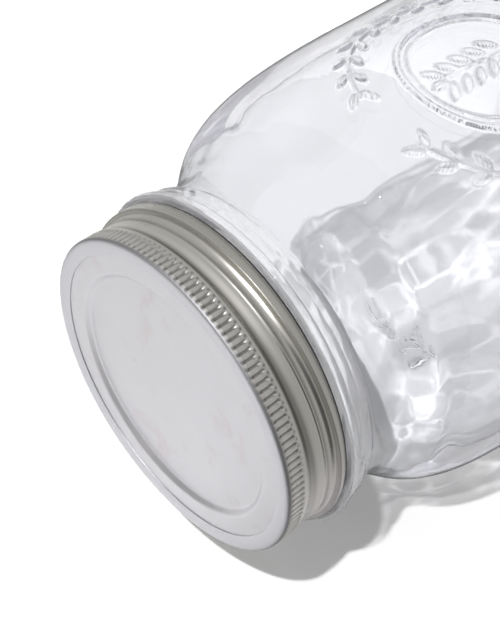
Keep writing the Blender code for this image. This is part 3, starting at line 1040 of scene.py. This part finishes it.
# rows follow the thread's helix round the front and ease back to their start behind
def rollThread(out, turn, up):
    band = screwBand
    middle = ridgeHeightAtFront()
    top, bottom = middle + band["ridgeBase"] / 2, middle - band["flareDrop"] - band["sheet"]
    side = wrapTurn(turn - math.radians(band["frontAngle"]))
    half = math.radians(band["rolledHalf"])
    lead = glassJar["threadPitch"] / math.tau
    ease = np.sin(np.clip((math.pi - np.abs(side)) / (math.pi - half), 0, 1) * math.pi / 2)
    climb = np.where(np.abs(side) <= half, lead * side, np.sign(side) * lead * half * ease)
    full = np.clip((half - np.abs(side)) / math.radians(band["ridgeFade"]), 0, 1)
    above = 1 - smoothStep(top, bandTop - band["easeTop"], up)
    below = smoothStep(bandBottom + band["easeFoot"], bottom, up)
    weight = np.where(up > top, above, np.where(up < bottom, below, 1))
    root = np.where(out > band["wallRadius"] + same, band["waistRadius"], band["wallRadius"])
    insetFoot, insetTop = band["ridgeInset"]
    sunk = (out < root) & (up > middle - band["ridgeBase"] / 2 + insetFoot) & (up < top - insetTop)
    out = np.where(sunk, root + (out - root) * full, out)
    return out, up + climb * weight


def knurlGrooves(out, turn, up):
    band = screwBand
    toHead = up - (bandTop - band["knurlTop"])
    toFoot = toHead + band["knurlLength"]
    phase = np.abs((turn / math.tau * band["knurlCount"]) % 1 - 0.5)
    width, footMore, headMore = band["grooveWidth"]
    width = width + footMore * smoothStep(*band["footWide"], toFoot)
    width += headMore * smoothStep(*band["headWide"], toHead)
    across = 1 - smoothStep(width + band["grooveEdge"][0], width + band["grooveEdge"][1], phase)
    lengthwise = smoothStep(*band["footFade"], toFoot) * (1 - smoothStep(*band["headFade"], toHead))
    return np.where(out > band["wallRadius"] + band["grooveInside"], across * lengthwise, 0)


def makeScrewBand():
    band, look = screwBand, bandLook
    sectors = band["knurlCount"] // band["groovesPerSector"]
    steps = band["groovesPerSector"] * band["columnsPerGroove"]
    piece = spinPiece("screwBand", bandOutline(), sectors, steps, closed=True)
    out, turn, up = readPoints(piece)
    addValues(piece, "profile", (up - ridgeHeightAtFront()) / mm)
    out, up = rollThread(out, turn, up)
    grooves = knurlGrooves(out, turn, up)
    writePoints(piece, out - band["grooveDepth"] * grooves, turn, up)
    # painted shade in the knurl's grooves and on the flange's rounded edge
    foot, head = look["roundReach"]
    rounded = smoothStep(*foot, bandTop - up) * smoothStep(*head, bandTop - up)
    rounded *= out > band["knurlRadius"] - look["roundWidth"]
    addValues(piece, "shaded", look["grooveShade"] * grooves + look["roundShade"] * rounded)
    # the inward faces, which the material darkens with painted shade, so no highlight shows inside the band
    normals = np.empty(len(out) * 3)
    piece.data.vertices.foreach_get("normal", normals)
    outward = normals[0::3] * np.cos(turn) + normals[1::3] * np.sin(turn)
    addValues(piece, "inside", (outward < look["insideSlope"]).astype(float))
    dress(piece, "screw_band", "band", bandMetal())


def bandMetal():
    look = bandLook
    material, start = newMaterial("bandMetal")
    lines = noise(start, objectSpots(start, look["lineSquash"]), *look["lines"])
    clouds = noise(start, objectSpots(start), *look["clouds"])
    up = along(start, 2)
    # painted reflection: the band turns paler and pinker towards -X and -Y
    paintedSide = start.ramp(along(start, 0) + along(start, 1), *look["paintedSideReach"])
    hem = start.ramp(up, *look["hemShadeReach"])
    face = start.ramp(up, *look["faceReach"])
    worn = start.ramp(up, *look["wornReach"])
    inside = attribute(start, "inside") * (1 - face)
    profile = attribute(start, "profile")
    zones = ("waist", "flare", "corner", "ridge")
    waist, flare, corner, ridge = (start.zone(profile, *look[k]) for k in zones)
    corner = corner * (1 - look["lowClear"] * paintedSide)
    # painted shade: darker in the hem, on the inward faces, in the grooves, on the flange's edge, in the
    # flare and in the corner below the knurl
    shadeMask = look["hemShade"] * hem + look["insideShade"] * inside + attribute(start, "shaded")
    shadeMask = (shadeMask + look["flareShade"] * flare + look["cornerShade"] * corner).clamp()
    sides = paintedSide.colors(clouds.colors(*look["cloudColors"]), look["paintedSideColor"])
    # painted sheen: the knurl and the thread's ridge turn paler
    pale = (start.ramp(profile, *look["knurl"]) + look["ridgeSheen"] * ridge).colors(sides, look["knurlSheenColor"])
    clean = face.colors(pale, look["faceColor"])
    rough = look["roughness"] + look["cloudRough"] * clouds + look["lineRough"] * lines
    rough = rough + look["shadeRough"] * shadeMask + look["wornRough"] * worn + look["waistRough"] * waist
    color = shadeMask.colors(clean, look["shadeColor"])
    finish(start, surface(start, color, rough, lines, look["bump"], {"Metallic": 1.0}))
    return material


# Lid disc

lidDisc = {
    "radius": discHigh.x,
    "lift": 0.29 * mm,  # which closes the solids' gap under the flange
    "sheet": 0.6 * mm,
    "panelRadius": 28.6 * mm,
    "panelDepth": 1.2 * mm,
    "stepSlope": 1.2 * mm,
    "stepRounds": (0.5 * mm, 0.4 * mm),  # above and below
    "edgeRound": 0.2 * mm,
    "dome": 0.25 * mm,
    "domeShares": (0, 0.15, 0.3, 0.45, 0.6, 0.75, 0.88),
    "footShare": 0.97,  # of the way out to the step, where the panel is flat
    "rowStep": 1.0 * mm,
    "segments": 256,
    "sectors": 16,
}

discLook = {
    "colors": ((0.58, 0.58, 0.605), (0.67, 0.665, 0.685)),
    "smudges": (45.0, 4.0, 0.55, 0.4),  # scale, detail, roughness and distortion
    "wornColor": (0.63, 0.585, 0.6),
    "marks": (75.0, 5.0, 0.7, 0.8),
    "markBreaks": (0.54, 0.68, 0.8),  # a soft step and its level
    "scratchSquash": (1, 0.12, 1),
    "scratches": (900.0, 2.0, 0.5, 2.0),
    "scratchBreaks": (0.62, 0.72, 0.4),
    "grainSquash": (1, 14, 1),
    "grain": (180.0, 3.0),
    "roughness": 0.30,
    "smudgeRough": 0.16,
    "grainRough": 0.05,
    "wornRough": 0.1,
    "bump": (0.08, 0.05 * mm),
}


def discOutline():
    disc = lidDisc
    top = discHigh.z + disc["lift"]
    foot = disc["panelRadius"] - disc["stepSlope"]
    flat = foot * disc["footShare"]
    sheet, shift = disc["sheet"], disc["sheet"] / 2
    panel = top - disc["panelDepth"]
    over, beneath = disc["stepRounds"]
    above = [(foot * s, panel + disc["dome"] * (1 - s * s)) for s in disc["domeShares"]]
    below = [(out, up - sheet) for out, up in above[::-1]]
    edge = [
        (flat, panel, 0),
        (foot, panel, over),
        (disc["panelRadius"], top, over),
        (disc["radius"], top, disc["edgeRound"]),
        (disc["radius"], top - sheet, disc["edgeRound"]),
        (disc["panelRadius"] + shift, top - sheet, beneath),
        (foot + shift, panel - sheet, beneath),
        (flat, panel - sheet, 0),
    ]
    return divide(above + softCorners(edge, 6) + below, disc["rowStep"])


def makeLidDisc():
    piece = spinPiece("lidDisc", discOutline(), lidDisc["sectors"], lidDisc["segments"] // lidDisc["sectors"])
    dress(piece, "lid_disc", "lid", discMetal())


def discMetal():
    look = discLook
    material, start = newMaterial("discMetal")
    smudges = noise(start, objectSpots(start), *look["smudges"])
    grain = noise(start, objectSpots(start, look["grainSquash"]), *look["grain"])
    marks = noise(start, objectSpots(start), *look["marks"])
    scratches = noise(start, objectSpots(start, look["scratchSquash"]), *look["scratches"])
    worn = start.ramp(marks, *look["markBreaks"]) + start.ramp(scratches, *look["scratchBreaks"])
    color = worn.clamp().colors(smudges.colors(*look["colors"]), look["wornColor"])
    rough = look["roughness"] + look["smudgeRough"] * smudges + look["grainRough"] * grain
    rough = rough + look["wornRough"] * worn
    finish(start, surface(start, color, rough, grain, look["bump"], {"Metallic": 1.0}))
    return material


# Sealing ring

sealingRing = {
    "round": 0.35 * mm,
    "rowStep": 0.6 * mm,
    "segments": 192,
    "sectors": 12,
    "colors": ((0.80, 0.78, 0.74), (0.90, 0.88, 0.84)),
    "grain": (900.0, 3.0),
    "roughness": 0.5,
    "grainRough": 0.2,
    "bump": (0.2, 0.05 * mm),
}


def makeSealingRing():
    ring = sealingRing
    middle = glassJar["finishRadius"] - glassJar["lipWall"] / 2
    outer = sealHigh.x
    inner = 2 * middle - outer
    corners = [(out, up, ring["round"]) for out, up in (
        (inner, sealHigh.z), (outer, sealHigh.z), (outer, sealLow.z), (inner, sealLow.z))]
    outline = divide(softCorners(corners), ring["rowStep"], closed=True)
    steps = ring["segments"] // ring["sectors"]
    piece = spinPiece("sealingRing", outline, ring["sectors"], steps, closed=True)
    dress(piece, "sealing_ring", "lid", sealRubber())


def sealRubber():
    ring = sealingRing
    material, start = newMaterial("sealRubber")
    grain = noise(start, objectSpots(start), *ring["grain"])
    rough = ring["roughness"] + ring["grainRough"] * grain
    finish(start, surface(start, grain.colors(*ring["colors"]), rough, grain, ring["bump"], {}))
    return material


bpy.context.scene.view_settings.view_transform = "Standard"
placeCamera()
lightStudio()
buildStage()
makeGlassJar()
makeScrewBand()
makeLidDisc()
makeSealingRing()
